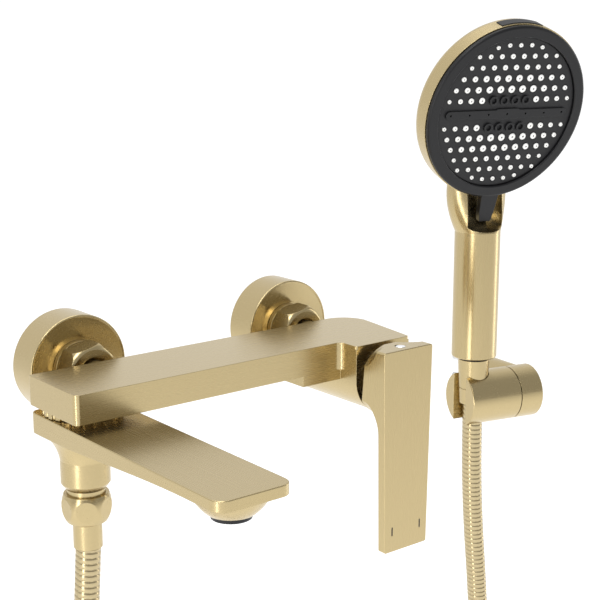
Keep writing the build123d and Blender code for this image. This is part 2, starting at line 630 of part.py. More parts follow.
with BuildPart() as spout_arm:
    with BuildSketch(Plane.XY.offset(SPOUT_TOP - SPOUT_BLOCK)):
        with BuildLine():
            Polyline(
                (SPOUT_X - SPOUT_BACK_HALF, -BAR_BACK),
                (SPOUT_X - SPOUT_TIP_HALF, -SPOUT_TIP),
                (SPOUT_X + SPOUT_TIP_HALF, -SPOUT_TIP),
                (SPOUT_X + SPOUT_BACK_HALF, -BAR_BACK),
                close=True,
            )
        make_face()
    extrude(amount=SPOUT_BLOCK)
    corners = spout_arm.edges().filter_by(Axis.Z).sort_by(Axis.Y)
    fillet(corners[:2], 7.0)
    rear = spout_arm.edges().filter_by(Axis.Z).filter_by_position(Axis.Y, -BAR_BACK - 1, -BAR_BACK + 1)
    fillet(rear.sort_by(Axis.X)[:1], 5.0)
    rear = spout_arm.edges().filter_by(Axis.Z).sort_by(Axis.X)
    fillet(rear[-1:], 9.0)
    with BuildSketch(Plane.YZ.offset(SPOUT_X - 30)):  # the underside rises towards the tip
        with BuildLine():
            under = Spline(
                (-BAR_BACK + 1, SPOUT_TOP - 11.0),
                (-100.0, SPOUT_TOP - 9.6),
                (-150.0, SPOUT_TOP - 6.6),
                (-SPOUT_TIP - 1, SPOUT_TOP - SPOUT_TIP_THICK),
            )
            Polyline(
                under @ 1,
                (-SPOUT_TIP - 1, SPOUT_TOP - 20),
                (-BAR_BACK + 1, SPOUT_TOP - 20),
                under @ 0,
            )
        make_face()
    extrude(amount=60, mode=Mode.SUBTRACT)
    with BuildSketch(profile_plane(SPOUT_AXIS, DOWN)):  # the underside swells down to the outlet
        with BuildLine():
            Polyline((-SPOUT_TOP + 4, 0), (-SPOUT_TOP + 4, 17.9), (-SPOUT_TOP + 7.0, 21.8))
            Line((-SPOUT_TOP + 7.0, 21.8), (-SPOUT_TOP + 10.8, 21.2))
            ThreePointArc((-SPOUT_TOP + 10.8, 21.2), (29.6, 15.9), (37.5, OUTLET_R))
            Polyline(
                (37.5, OUTLET_R),
                (-OUTLET_BOTTOM - 3.3, OUTLET_R),
                (-OUTLET_BOTTOM, 11.0),
                (-OUTLET_BOTTOM, 0),
                (-SPOUT_TOP + 4, 0),
            )
        make_face()
    revolve(axis=Axis(SPOUT_AXIS, DOWN))
    with BuildSketch(profile_plane(Vector(SPOUT_X, AERATOR_Y, 0), DOWN)):  # boss for the aerator
        with BuildLine():
            Line((-SPOUT_TOP + 2, 0), (-SPOUT_TOP + 2, 19.0))
            Line((-SPOUT_TOP + 2, 19.0), (-SPOUT_TOP + SPOUT_TIP_THICK, 19.0))
            ThreePointArc((-SPOUT_TOP + SPOUT_TIP_THICK, 19.0), (22.6, 15.6), (AERATOR_BOSS, 11.6))
            Polyline((AERATOR_BOSS, 11.6), (AERATOR_BOSS, 0), (-SPOUT_TOP + 2, 0))
        make_face()
    revolve(axis=Axis((SPOUT_X, AERATOR_Y, 0), DOWN))
    with BuildSketch(Plane.XY.offset(SPOUT_TOP - 31.5)):
        with Locations((SPOUT_X, SPOUT_Y)):
            Circle(POST_R + 0.6)
    extrude(amount=32, mode=Mode.SUBTRACT)
    with BuildSketch(Plane.XY.offset(-46.0)):  # room for the circlip under the post
        with Locations((SPOUT_X, SPOUT_Y)):
            Circle(10.6)
    extrude(amount=6.0, mode=Mode.SUBTRACT)
    with BuildSketch(Plane.XY.offset(OUTLET_BOTTOM)):
        with Locations((SPOUT_X, SPOUT_Y)):
            Circle(9.0)
    extrude(amount=10, mode=Mode.SUBTRACT)
    with BuildSketch(Plane.XY.offset(SPOUT_TOP - 4.2)):  # flat waterway along the arm
        with Locations((SPOUT_X, (SPOUT_Y + AERATOR_Y) / 2)):
            Rectangle(17, SPOUT_Y - AERATOR_Y)
    extrude(amount=2.8, mode=Mode.SUBTRACT)
    with BuildSketch(Plane.XZ.offset(-SPOUT_Y)):  # the port that meets the post's
        with Locations((SPOUT_X, PORT_Z)):
            Circle(SPOUT_PORT_R)
    extrude(amount=17, mode=Mode.SUBTRACT)
    with BuildSketch(Plane.XY.offset(-21.0)):
        with Locations((SPOUT_X, SPOUT_Y - 13.5)):
            Circle(SPOUT_PORT_R)
    extrude(amount=7.0, mode=Mode.SUBTRACT)
    with BuildSketch(Plane.XY.offset(-27.0)):
        with Locations((SPOUT_X, AERATOR_Y)):
            Circle(AERATOR_R)
    extrude(amount=27.0 + SPOUT_TOP - 2.6, mode=Mode.SUBTRACT)
    top_edges = spout_arm.faces().sort_by(Axis.Z)[-1].outer_wire().edges()
    chamfer(top_edges, 0.35)
write(spout_arm, "spout_arm")

shower_outline = [(44.5, 6.0), (66.0, 6.0), (66.0, 10.4), (54.1, 10.4), (54.1, 8.95), (44.5, 8.95)]
write(turned(SPOUT_AXIS, DOWN, shower_outline), "shower_nipple")

AERATOR_AXIS = Vector(SPOUT_X, AERATOR_Y, 0)
housing_outline = [(18.0, 8.2), (29.0, 8.2), (29.0, 9.7), (27.4, 10.0), (26.6, 10.0), (26.6, 9.6)]
housing_outline += [(18.0, 9.6)]
write(turned(AERATOR_AXIS, DOWN, housing_outline), "aerator_housing")
with BuildPart() as aerator_insert:
    with BuildSketch(Plane.XY.offset(-27.8)):
        with Locations((SPOUT_X, AERATOR_Y)):
            Circle(8.1)
            with HexLocations(1.45, 5, 5):
                RegularPolygon(1.05, 6, mode=Mode.SUBTRACT)
    extrude(amount=6)
write(aerator_insert, "aerator_insert")

# ---------------------------------------------------------------- hose end on the spout
with BuildPart() as hose_nut:  # barrel-shaped nut with six round flats
    with BuildSketch(profile_plane(SPOUT_AXIS, DOWN)):
        with BuildLine():
            Line((57.0, 8.2), (57.0, 12.2))
            ThreePointArc((57.0, 12.2), (64.5, 13.5), (72.6, 11.2))
            Polyline((72.6, 11.2), (73.8, 9.0), (73.8, 8.2), (57.0, 8.2))
        make_face()
    revolve(axis=Axis(SPOUT_AXIS, DOWN))
    with BuildSketch(Plane.XY.offset(-67.8)):
        with Locations((SPOUT_X, SPOUT_Y)):
            Circle(10.46)
    extrude(amount=20, mode=Mode.SUBTRACT)
    for flat_number in range(6):
        facing = Vector(sin(radians(60 * flat_number + 29)), -cos(radians(60 * flat_number + 29)), 0)
        flat = Plane(origin=SPOUT_AXIS + facing * 12.2 + DOWN * 64.8, z_dir=facing)
        with BuildSketch(flat):
            Circle(6.0)
        extrude(amount=4, mode=Mode.SUBTRACT)
write(hose_nut, "hose_nut")

write(turned(SPOUT_AXIS, DOWN, ring(66.05, 67.75, 6.2, 10.3)), "hose_washer")
ferrule_outline = [(67.8, 5.5), (88.0, 5.5), (88.0, 7.95), (69.4, 7.95), (69.4, 8.15), (67.8, 8.15)]
write(turned(SPOUT_AXIS, DOWN, ferrule_outline), "hose_ferrule")

# ---------------------------------------------------------------- hose
route = [Vector(*p) for p in HOSE_ROUTE]
runs = [(b - a).length for a, b in zip(route, route[1:])]
turns = [(b - a).get_angle(c - b) for a, b, c in zip(route, route[1:], route[2:])]
radii = [0.45 * min(r1, r2) / tan(radians(t / 2)) for r1, r2, t in zip(runs, runs[1:], turns)]
print("hose runs", [round(r) for r in runs])
print("hose turns", [round(t) for t in turns])
print("hose radii", [round(r) for r in radii])
with BuildPart() as shower_hose:
    with BuildLine() as hose_line:
        FilletPolyline(*route, radius=radii)
    with BuildSketch(Plane(origin=route[0], z_dir=route[1] - route[0])):
        Circle(HOSE_R)
    sweep(path=hose_line.wires()[0])
hose_length = hose_line.wires()[0].length
section = pi * HOSE_R**2
print("hose length", round(hose_length, 1), "volume ratio", round(shower_hose.part.volume / section / hose_length, 4))
write(shower_hose, "shower_hose")

# ---------------------------------------------------------------- holder
BARREL_PLANE = Plane(origin=BARREL_CENTRE, x_dir=-AHEAD, z_dir=ALONG)
cone_slope = (CONE_TOP_R - CONE_FOOT_R) / (CONE_TOP_Z - CONE_FOOT_Z)

with BuildPart() as holder_barrel:
    with BuildSketch(BARREL_PLANE.offset(BARREL_LEFT)):
        Circle(BARREL_R)
    extrude(amount=BARREL_RIGHT - BARREL_LEFT)
    chamfer(holder_barrel.edges().filter_by(GeomType.CIRCLE), 0.4)
    with BuildSketch(BARREL_PLANE.offset(BARREL_RIGHT)):  # spigot that turns in the holder's base
        Circle(SPIGOT_R)
    extrude(amount=SPIGOT_LENGTH)
    seat_top = BARREL_Z + BARREL_R + 2
    seat_top_r = CONE_FOOT_R + SEAT_PLAY + cone_slope * (seat_top - CONE_FOOT_Z)
    seat_outline = [(-seat_top, 0), (-seat_top, seat_top_r), (-CONE_FOOT_Z + 0.6, CONE_FOOT_R + SEAT_PLAY)]
    seat_outline += [(-CONE_FOOT_Z + 0.6, SLOT_W / 2), (95.0, SLOT_W / 2), (95.0, 0)]
    with BuildSketch(profile_plane(HAND_AXIS, DOWN)):
        with BuildLine():
            Polyline(*seat_outline, close=True)
        make_face()
    revolve(axis=Axis(HAND_AXIS, DOWN), mode=Mode.SUBTRACT)
    slot_plane = Plane(origin=HAND_AXIS + UP * (BARREL_Z - 25), x_dir=ALONG, z_dir=UP)
    with BuildSketch(slot_plane):
        with Locations((-10, 0)):
            Rectangle(20, SLOT_W)
    extrude(amount=50, mode=Mode.SUBTRACT)
    with BuildSketch(BARREL_PLANE.offset(BARREL_RIGHT - 8)):
        Circle(2.5)
    extrude(amount=20, mode=Mode.SUBTRACT)
write(holder_barrel, "holder_barrel")

NECK_CENTRE = BARREL_CENTRE + ALONG * (BARREL_RIGHT + HOLDER_END) / 2
NECK_LENGTH = -NECK_CENTRE.Y / cos(turn)
FOOT_X = (NECK_CENTRE - AHEAD * NECK_LENGTH).X  # where the neck's axis meets the wall
WALL_SCREWS = [(FOOT_X, BARREL_Z + WALL_SCREW_REACH), (FOOT_X, BARREL_Z - WALL_SCREW_REACH)]
with BuildPart() as holder_base:
    with BuildSketch(Plane(origin=NECK_CENTRE, x_dir=ALONG, z_dir=-AHEAD)):
        Ellipse((HOLDER_END - BARREL_RIGHT) / 2 - 0.1, BARREL_R - 0.1)
    with BuildSketch(Plane(origin=NECK_CENTRE - AHEAD * (NECK_LENGTH + 6), x_dir=ALONG, z_dir=-AHEAD)):
        Circle(NECK_R)
    loft()
    with BuildSketch(BARREL_PLANE.offset(BARREL_RIGHT - 60)):  # room for the barrel to turn
        Circle(BARREL_R + HOLDER_GAP)
    extrude(amount=60 + HOLDER_GAP, mode=Mode.SUBTRACT)
    with BuildSketch(BARREL_PLANE.offset(BARREL_RIGHT + HOLDER_GAP)):
        Circle(BARREL_R)
    extrude(amount=HOLDER_END - BARREL_RIGHT - HOLDER_GAP)
    with BuildSketch(Plane.XZ):
        with Locations((FOOT_X, BARREL_Z)):
            Rectangle(60, 60)
    extrude(amount=-20, mode=Mode.SUBTRACT)
    with BuildSketch(Plane.XZ):  # cup that slips over the wall disc
        with Locations((FOOT_X, BARREL_Z)):
            Circle(WALL_DISC_R + 0.1)
    extrude(amount=9, mode=Mode.SUBTRACT)
    with BuildSketch(BARREL_PLANE.offset(BARREL_RIGHT)):
        Circle(SPIGOT_R + SPIGOT_PLAY)
    extrude(amount=SPIGOT_LENGTH + 0.6, mode=Mode.SUBTRACT)
    with BuildSketch(BARREL_PLANE.offset(BARREL_RIGHT)):
        Circle(3.4)
    extrude(amount=20, mode=Mode.SUBTRACT)
    with BuildSketch(BARREL_PLANE.offset(HOLDER_END - 6.0)):
        Circle(8.0)
    extrude(amount=8, mode=Mode.SUBTRACT)
    with BuildSketch(Plane.XY.offset(BARREL_Z - NECK_R - 1)):  # grub screw hole under the neck
        with Locations((FOOT_X, GRUB_Y)):
            Circle(1.9)
    extrude(amount=NECK_R - 10, mode=Mode.SUBTRACT)
write(holder_base, "holder_base")

with BuildPart() as holder_wall_disc:
    with BuildSketch(Plane.XZ):
        with Locations((FOOT_X, BARREL_Z)):
            Circle(WALL_DISC_R)
    extrude(amount=WALL_DISC_THICK)
    with BuildSketch(Plane.XZ.offset(WALL_DISC_THICK)):
        with Locations(*WALL_SCREWS):
            Circle(4.0)
    extrude(amount=-4.0, mode=Mode.SUBTRACT)
    with BuildSketch(Plane.XZ):
        with Locations(*WALL_SCREWS):
            Circle(2.2)
    extrude(amount=WALL_DISC_THICK, mode=Mode.SUBTRACT)
    with BuildSketch(Plane.XY.offset(BARREL_Z - 13.5)):
        with Locations((FOOT_X, GRUB_Y)):
            Circle(1.85)
    extrude(amount=4.0, mode=Mode.SUBTRACT)
write(holder_wall_disc, "holder_wall_disc")

with BuildPart() as holder_wall_screws:
    with BuildSketch(Plane.XZ.offset(4.9)):
        with Locations(*WALL_SCREWS):
            Circle(3.6)
    extrude(amount=3.0)
    with BuildSketch(Plane.XZ.offset(-22)):
        with Locations(*WALL_SCREWS):
            Circle(2.0)
    extrude(amount=27.5)
write(holder_wall_screws, "holder_wall_screws")

grub_start = Vector(FOOT_X, GRUB_Y, BARREL_Z)
write(turned(grub_start, DOWN, [(11.2, 0), (13.9, 0), (13.9, 1.8), (11.2, 1.8)]), "holder_grub_screw")

pivot_outline = [(BARREL_RIGHT - 7, 0), (HOLDER_END - 1.8, 0), (HOLDER_END - 1.8, 4.6)]
pivot_outline += [(HOLDER_END - 4.6, 4.6), (HOLDER_END - 4.6, 2.4), (BARREL_RIGHT - 7, 2.4)]
write(turned(BARREL_CENTRE, ALONG, pivot_outline), "holder_pivot_screw")
washer_outline = ring(HOLDER_END - 5.9, HOLDER_END - 4.7, 2.9, 7.0)
write(turned(BARREL_CENTRE, ALONG, washer_outline), "holder_spring_washer")
cap_outline = [(HOLDER_END - 1.5, 0), (HOLDER_END - 0.1, 0), (HOLDER_END - 0.1, 7.9), (HOLDER_END - 1.5, 7.9)]
write(turned(BARREL_CENTRE, ALONG, cap_outline), "holder_end_cap")

# ---------------------------------------------------------------- nut in the holder
seam_r = CONE_FOOT_R + cone_slope * (-60.0 - CONE_FOOT_Z)
nut_outline = [(-CONE_TOP_Z, 9.36), (-CONE_TOP_Z, CONE_TOP_R), (59.7, seam_r + 0.03), (59.7, seam_r - 0.4)]
nut_outline += [(60.3, seam_r - 0.4), (60.3, seam_r - 0.03), (-CONE_FOOT_Z, CONE_FOOT_R)]
nut_outline += [(-CONE_FOOT_Z, 7.35), (49.2, 7.35), (49.2, 9.36)]
write(turned(HAND_AXIS, DOWN, nut_outline), "cone_nut")
write(turned(HAND_AXIS, DOWN, ring(47.3, 49.1, 7.4, 9.3)), "cone_washer")

# ---------------------------------------------------------------- hand shower
HEAD_PROFILE = Plane(origin=FACE_CENTRE, x_dir=-FACE_OUT, z_dir=ALONG)
HEAD_AXIS = Axis(FACE_CENTRE, FACE_OUT)
FACE_UP = FACE_OUT.cross(ALONG)
STRIP_ARC = 30.0  # the pocket for the rim's strip, centred on the head's top
STRIP_PLAY = 0.2  # degrees left free at each end of the strip


def rim_plane(angle):
    """The head's profile plane, turned about the head's axis from its top by an angle in degrees."""
    normal = ALONG * cos(radians(angle)) - FACE_UP * sin(radians(angle))
    return Plane(origin=FACE_CENTRE, x_dir=-FACE_OUT, z_dir=normal)


def hand_plane(z, ahead=0.0):
    """A level plane at height z, centred ahead of the handle's axis, x along the barrel."""
    return Plane(origin=HAND_AXIS + AHEAD * ahead + UP * z, x_dir=ALONG, z_dir=UP)


with BuildPart() as handset_shell:
    with BuildSketch(HEAD_PROFILE):
        with BuildLine():
            Line((3.2, 0), (3.2, HEAD_R))
            Line((3.2, HEAD_R), (13.0, HEAD_R))
            ThreePointArc((13.0, HEAD_R), (17.5, HEAD_R - 1.8), (20.0, HEAD_R - 6.0))
            ThreePointArc((20.0, HEAD_R - 6.0), (23.6, 30.0), (25.0, 0))
            Line((25.0, 0), (3.2, 0))
        make_face()
    revolve(axis=HEAD_AXIS)
    with BuildSketch(hand_plane(HANDLE_BOTTOM)):
        Circle(HANDLE_R)
    extrude(amount=50 - HANDLE_BOTTOM)
    chamfer(handset_shell.edges().sort_by(Axis.Z)[:1], 0.6)
    with BuildSketch(hand_plane(50)):
        Circle(HANDLE_R)
    with BuildSketch(hand_plane(82, -3.0)):
        Ellipse(22, 12.5)
    with BuildSketch(hand_plane(112, 3.0)):
        Ellipse(12, 4)
    loft()
    with BuildSketch(hand_plane(HANDLE_BOTTOM)):  # threaded nipple below the handle
        Circle(9.3)
    extrude(amount=-9.7)
    with BuildSketch(HEAD_PROFILE):  # chamber of the head
        with BuildLine():
            Line((3.0, 0), (3.0, 56.5))
            Line((3.0, 56.5), (16.0, 56.5))
            ThreePointArc((16.0, 56.5), (20.4, 34.0), (22.4, 0))
            Line((22.4, 0), (3.0, 0))
        make_face()
    revolve(axis=HEAD_AXIS, mode=Mode.SUBTRACT)
    scoop_plane = Plane(origin=HAND_AXIS + AHEAD * 19.0 + UP * 69.0 - ALONG * 13.6, x_dir=UP, z_dir=ALONG)
    with BuildSketch(scoop_plane):  # hollow across the neck for the selector's tab
        Circle(18.5)
    extrude(amount=27.2, mode=Mode.SUBTRACT)
    with BuildSketch(hand_plane(HANDLE_BOTTOM + 6)):
        Circle(11.5)
    extrude(amount=44 - HANDLE_BOTTOM - 6, mode=Mode.SUBTRACT)
    with BuildSketch(hand_plane(HANDLE_BOTTOM - 10)):
        Circle(7.4)
    extrude(amount=17, mode=Mode.SUBTRACT)
    way_start = HAND_AXIS - AHEAD * 7.5 + UP * 42
    way_end = HAND_AXIS - AHEAD * 2.0 + UP * 96
    with BuildSketch(Plane(origin=way_start, z_dir=way_end - way_start)):
        Circle(3.8)
    extrude(amount=(way_end - way_start).length, mode=Mode.SUBTRACT)
    with BuildSketch(rim_plane(STRIP_ARC / 2)):  # pocket for the strip on the rim
        with Locations((8.0, HEAD_R + 0.5)):
            Rectangle(7.2, 2.6)
    revolve(axis=HEAD_AXIS, revolution_arc=STRIP_ARC, mode=Mode.SUBTRACT)
write(handset_shell, "handset_shell")

with BuildPart() as edge_strip:
    with BuildSketch(rim_plane(STRIP_ARC / 2 - STRIP_PLAY)):
        with Locations((8.0, HEAD_R - 0.15)):
            Rectangle(7.0, 1.2)
    revolve(axis=HEAD_AXIS, revolution_arc=STRIP_ARC - 2 * STRIP_PLAY)
write(edge_strip, "edge_strip")

with BuildPart() as selector_ring:
    with BuildSketch(HEAD_PROFILE):
        with BuildLine():
            Polyline((0.6, RING_INNER_R), (2.9, RING_INNER_R), (2.9, FACE_R), (1.2, FACE_R))
            ThreePointArc((1.2, FACE_R), (0.4, FACE_R - 0.6), (0.0, FACE_R - 1.6))
            Polyline((0.0, FACE_R - 1.6), (0.0, RING_INNER_R + 0.6), (0.6, RING_INNER_R))
        make_face()
    revolve(axis=HEAD_AXIS)
    with BuildSketch(FACE_PLANE.offset(-4.4)):  # tab under the face
        with BuildLine():
            Polyline((-6.6, -56.0), (-5.6, -70.0), (-4.2, -76.6), (4.2, -76.6), (5.6, -70.0), (6.6, -56.0))
            Line((6.6, -56.0), (-6.6, -56.0))
        make_face()
    extrude(amount=4.0)
    with BuildSketch(FACE_PLANE.offset(-4.6)):  # nothing of the tab stays behind the ring
        Circle(FACE_R + 1.0)
    extrude(amount=1.7, mode=Mode.SUBTRACT)
write(selector_ring, "selector_ring")

with BuildPart() as face_plate:
    with BuildSketch(FACE_PLANE.offset(-PLATE_BACK)):
        Circle(RING_INNER_R - 0.3)
    extrude(amount=-3.0)
write(face_plate, "face_plate")

NOZZLE_ROWS = [(8, 2.3), (11, 2.45), (10, 2.3), (9, 1.8), (8, 1.7), (5, 1.45)]  # nozzles in a row, radius


def nozzle_places():
    """(x, y, radius) of each white nozzle, in rows above and below the bar."""
    places = []
    for row, (count, size) in enumerate(NOZZLE_ROWS):
        y = NOZZLE_FIRST_ROW + row * NOZZLE_ROW
        for k in range(count):
            if row == 0:
                x = (20.7 + (k // 2) * 8.1) * (1 if k % 2 else -1)
            else:
                x = (k - (count - 1) / 2) * NOZZLE_PITCH
            drop = 1.5 if row == 5 and abs(x) > 16 else 0.0
            shrink = 1.0 - 0.42 * (x / 46) ** 2
            for side in (1, -1):
                places.append((x, side * (y - drop), size * shrink))
    return places


with BuildPart() as white_nozzles:
    with BuildSketch(FACE_PLANE.offset(-PLATE_BACK)):
        for x, y, size in nozzle_places():
            with Locations((x, y)):
                Circle(size)
    extrude(amount=1.1)
write(white_nozzles, "white_nozzles")

with BuildPart() as black_nozzles:
    with BuildSketch(FACE_PLANE.offset(-PLATE_BACK)):
        with Locations(*[(x, y) for x in (-12.3, -4.1, 4.1, 12.3) for y in (-9.2, 9.2)]):
            Circle(3.1)
            Circle(1.9, mode=Mode.SUBTRACT)
    extrude(amount=1.4)
write(black_nozzles, "black_nozzles")

with BuildPart() as spray_bar:
    with BuildSketch(FACE_PLANE.offset(-PLATE_BACK)):
        SlotOverall(92, 5.6)
        RectangleRounded(18, 7.2, 2.0)
        with Locations(*[(x, 0) for x in (-42.5, -28.5, -14.2, 0, 14.2, 28.5, 42.5)]):
            Circle(0.7, mode=Mode.SUBTRACT)
    extrude(amount=1.2)
write(spray_bar, "spray_bar")

with BuildPart() as water_plate:
    with BuildSketch(FACE_PLANE.offset(-8.0)):
        Circle(56.2)
        with PolarLocations(30, 8):
            Circle(3.0, mode=Mode.SUBTRACT)
    extrude(amount=-2.0)
write(water_plate, "water_plate")

tube_outline = [(-40.0, 5.2), (16.0, 5.2), (16.0, 11.4), (13.5, 11.4), (13.5, 7.0), (-37.0, 7.0)]
tube_outline += [(-37.0, 11.4), (-40.0, 11.4)]
write(turned(HAND_AXIS, DOWN, tube_outline), "handle_water_tube")
write(turned(HAND_AXIS, DOWN, ring(-HANDLE_BOTTOM + 0.1, -CONE_TOP_Z - 0.1, 9.4, 10.6)), "handset_ring")
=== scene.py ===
# Looks of the wall mounted bath faucet: brushed champagne gold, a black and white spray face
# and a spiral metal hose, on a plain pale floor. Metres, in the CAD frame.
import json
from math import cos, pi, radians, sin

import bmesh
import bpy
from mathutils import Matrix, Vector


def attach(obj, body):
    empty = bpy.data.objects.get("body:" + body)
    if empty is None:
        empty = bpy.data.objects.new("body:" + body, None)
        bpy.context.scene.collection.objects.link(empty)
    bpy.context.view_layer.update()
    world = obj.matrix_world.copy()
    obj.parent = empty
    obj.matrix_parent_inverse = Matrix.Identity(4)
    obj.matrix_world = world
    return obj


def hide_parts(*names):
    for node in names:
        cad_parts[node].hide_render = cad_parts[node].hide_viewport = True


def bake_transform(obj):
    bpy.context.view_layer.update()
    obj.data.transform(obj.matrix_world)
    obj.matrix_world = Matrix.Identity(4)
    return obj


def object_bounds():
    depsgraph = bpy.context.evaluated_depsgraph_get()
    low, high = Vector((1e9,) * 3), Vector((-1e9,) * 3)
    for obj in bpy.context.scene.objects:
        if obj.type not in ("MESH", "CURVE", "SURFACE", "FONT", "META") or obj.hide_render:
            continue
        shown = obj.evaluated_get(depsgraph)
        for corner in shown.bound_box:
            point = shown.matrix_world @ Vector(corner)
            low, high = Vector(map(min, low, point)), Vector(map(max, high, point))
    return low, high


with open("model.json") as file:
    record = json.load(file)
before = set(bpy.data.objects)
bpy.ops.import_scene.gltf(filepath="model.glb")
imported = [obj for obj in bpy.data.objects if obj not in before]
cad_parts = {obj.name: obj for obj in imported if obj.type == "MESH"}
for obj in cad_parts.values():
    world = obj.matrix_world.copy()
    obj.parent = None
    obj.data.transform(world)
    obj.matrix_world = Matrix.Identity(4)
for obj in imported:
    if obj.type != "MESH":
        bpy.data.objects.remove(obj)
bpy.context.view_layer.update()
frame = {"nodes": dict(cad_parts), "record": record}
nodes = frame["nodes"]
MM = 0.001

# ---------------------------------------------------------------- camera
camera_data = bpy.data.cameras.new("camera")
camera_data.lens = 78.0
camera_data.sensor_width = 36.0
camera = bpy.data.objects.new("camera", camera_data)
camera.location = (-0.4203, -0.6494, 0.1957)
AZIMUTH = radians(-38.78)
ELEVATION = radians(12.54)
looking = Vector((-sin(AZIMUTH) * cos(ELEVATION), cos(AZIMUTH) * cos(ELEVATION), -sin(ELEVATION)))
camera.rotation_euler = looking.to_track_quat("-Z", "Y").to_euler()
bpy.context.collection.objects.link(camera)
bpy.context.scene.camera = camera

# ---------------------------------------------------------------- hose
HOSE_R = 0.007
HOSE_PITCH = 0.0033
HOSE_GROOVE = 0.0010
GROOVE_POWER = 8  # a higher power makes the groove narrower
HOSE_SIDES = 20
ROWS_PER_TURN = 8
LINE_STEPS = 24  # points between two places of the route
HOSE_ROUTE = [
    (-0.096, -0.062, -0.0884),
    (-0.0993, -0.062, -0.140),
    (-0.1075, -0.061, -0.225),
    (-0.113, -0.059, -0.310),
    (-0.112, -0.057, -0.395),
    (-0.092, -0.055, -0.470),
    (-0.048, -0.053, -0.532),
    (0.022, -0.051, -0.566),
    (0.100, -0.0495, -0.566),
    (0.170, -0.048, -0.532),
    (0.215, -0.047, -0.470),
    (0.236, -0.046, -0.395),
    (0.238, -0.0455, -0.310),
    (0.232, -0.045, -0.225),
    (0.2225, -0.045, -0.148),
    (0.220, -0.045, -0.090),
    (0.220, -0.045, -0.034),
]


def route_points(points):
    """The points of the smooth line that the route controls."""
    curve = bpy.data.curves.new("hose_line", "CURVE")
    curve.dimensions = "3D"
    curve.resolution_u = LINE_STEPS
    spline = curve.splines.new("NURBS")
    spline.points.add(len(points) - 1)
    for point, place in zip(spline.points, points):
        point.co = (*place, 1.0)
    spline.order_u = 3
    spline.use_endpoint_u = True
    line = bpy.data.objects.new("hose_line", curve)
    mesh = bpy.data.meshes.new_from_object(line)
    found = [v.co.copy() for v in mesh.vertices]
    bpy.data.objects.remove(line)
    bpy.data.meshes.remove(mesh)
    return found


def evenly(points, step):
    """Points about a step apart along a line, and the line's length."""
    reach = [0.0]
    for a, b in zip(points, points[1:]):
        reach.append(reach[-1] + (b - a).length)
    count = int(reach[-1] / step)
    found = []
    k = 0
    for i in range(count + 1):
        at = reach[-1] * i / count
        while k < len(points) - 2 and reach[k + 1] < at:
            k += 1
        share = (at - reach[k]) / (reach[k + 1] - reach[k])
        found.append(points[k].lerp(points[k + 1], share))
    return found, reach[-1]


def new_object(name, bm):
    """A smooth shaded object from a finished bmesh."""
    mesh = bpy.data.meshes.new(name)
    bm.to_mesh(mesh)
    bm.free()
    mesh.polygons.foreach_set("use_smooth", [True] * len(mesh.polygons))
    piece = bpy.data.objects.new(name, mesh)
    bpy.context.collection.objects.link(piece)
    return piece


def spiral_tube(name, line):
    """A closed tube along a line with a helical groove, as a wound metal hose has."""
    bm = bmesh.new()
    side = Vector((0, 1, 0))
    rows = []
    for i, place in enumerate(line):
        ahead = (line[min(i + 1, len(line) - 1)] - line[max(i - 1, 0)]).normalized()
        side = (side - ahead * side.dot(ahead)).normalized()
        across = ahead.cross(side)
        row = []
        for k in range(HOSE_SIDES):
            turn = k / HOSE_SIDES
            phase = (i / ROWS_PER_TURN + turn) % 1.0
            radius = HOSE_R - HOSE_GROOVE * abs(2 * phase - 1) ** GROOVE_POWER
            angle = 2 * pi * turn
            row.append(bm.verts.new(place + (side * cos(angle) + across * sin(angle)) * radius))
        rows.append(row)
    for low, high in zip(rows, rows[1:]):
        for k in range(HOSE_SIDES):
            n = (k + 1) % HOSE_SIDES
            bm.faces.new((low[k], low[n], high[n], high[k]))
    bm.faces.new(rows[0])
    bm.faces.new(list(reversed(rows[-1])))
    bmesh.ops.recalc_face_normals(bm, faces=bm.faces)
    return new_object(name, bm)


hose_line, hose_length = evenly(route_points(HOSE_ROUTE), HOSE_PITCH / ROWS_PER_TURN)
hose = spiral_tube("spiral_hose", hose_line)
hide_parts("shower_hose")
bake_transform(hose)

# ---------------------------------------------------------------- materials
EDGE_RADIUS = 0.0004
EDGE_SAMPLES = 8
GRAIN_DETAIL = 4.0


def material(name, color, metallic, roughness):
    """A material with the shader's own values set, and its nodes to build on."""
    made = bpy.data.materials.new(name)
    made.use_nodes = True
    shader = made.node_tree.nodes["Principled BSDF"]
    shader.inputs["Base Color"].default_value = (*color, 1.0)
    shader.inputs["Metallic"].default_value = metallic
    shader.inputs["Roughness"].default_value = roughness
    return made, made.node_tree, shader


